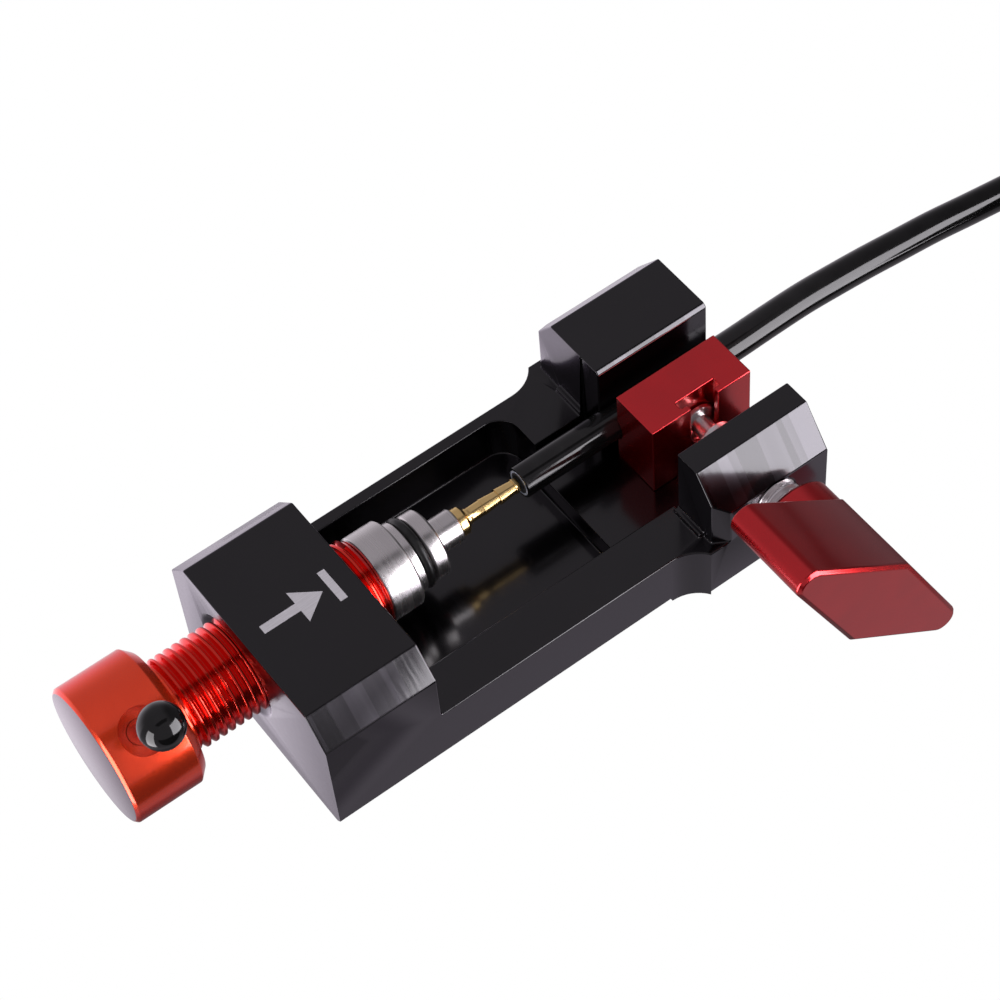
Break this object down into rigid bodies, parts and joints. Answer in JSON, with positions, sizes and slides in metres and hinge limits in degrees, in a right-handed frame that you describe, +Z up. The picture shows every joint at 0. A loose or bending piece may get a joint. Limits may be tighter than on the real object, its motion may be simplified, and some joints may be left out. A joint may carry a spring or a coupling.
{
  "type": "hydraulic hose barb press",
  "caption": "Hand screw press that pushes a barbed brass insert into a hydraulic brake hose, which a lever clamps in a small vise on the same machined block.",
  "frame": {"origin": "centre of the block's flat underside", "axes": "+X along the hose, away from the knob; +Y to the fixed jaw's side; +Z up"},
  "size_m": [0.2521, 0.0877, 0.0462],
  "materials": {
    "black_anodised": "satin black anodised, milled",
    "orange_anodised": "glossy orange-red anodised, turned",
    "red_anodised": "satin crimson anodised",
    "turned_steel": "fine turned",
    "bright_steel": "polished",
    "dark_steel": "black oxide",
    "brass": "turned",
    "black_rubber": "matt",
    "black_ball": "high gloss",
    "hose_jacket": "glossy extruded",
    "hose_braid": "woven fibre",
    "hose_liner": "smooth"
  },
  "bodies": {
    "block": {"body": "black_anodised", "hose_jacket_end": "hose_jacket", "hose_braid": "hose_braid", "hose_liner": "hose_liner", "hose": "hose_jacket", "hose_coil": "hose_jacket"},
    "press_head": {"swivel_cup": "turned_steel", "thrust_ball": "bright_steel", "retaining_ring": "bright_steel", "press_adaptor": "turned_steel", "adaptor_o_ring": "black_rubber", "pilot_pin": "bright_steel", "barb": "brass"},
    "screw": {"drive_screw": "orange_anodised"},
    "handle": {"tommy_bar": "bright_steel", "tommy_ball_upper": "black_ball", "tommy_ball_lower": "black_ball"},
    "jaw": {"clamp_jaw": "red_anodised"},
    "lever": {"clamp_screw": "turned_steel", "clamp_lever": "red_anodised", "lever_grub_screw": "dark_steel"}
  },
  "joints": [
    {"name": "press_slide", "type": "slide", "parent": "block", "child": "press_head", "axis": [1, 0, 0], "range_m": [-0.012, 0.0105]},
    {"name": "drive_turn", "type": "hinge", "parent": "press_head", "child": "screw", "pos_m": [-0.0466, 0.0046, 0.0139], "axis": [1, 0, 0], "range_deg": [-2881, 2521]},
    {"name": "bar_slide", "type": "slide", "parent": "screw", "child": "handle", "axis": [0, -0.5563, 0.831], "range_m": [-0.0149, 0]},
    {"name": "jaw_slide", "type": "slide", "parent": "block", "child": "jaw", "axis": [0, 1, 0], "range_m": [-0.0055, 0]},
    {"name": "clamp_turn", "type": "hinge", "parent": "jaw", "child": "lever", "pos_m": [0.0361, -0.0237, 0.0151], "axis": [0, 1, 0], "range_deg": [-1585, 1]}
  ],
  "couplings": [
    {"joint": "drive_turn", "follows": "press_slide", "rad_per_m": 4188.8},
    {"joint": "clamp_turn", "follows": "jaw_slide", "rad_per_m": 5026.5}
  ]
}
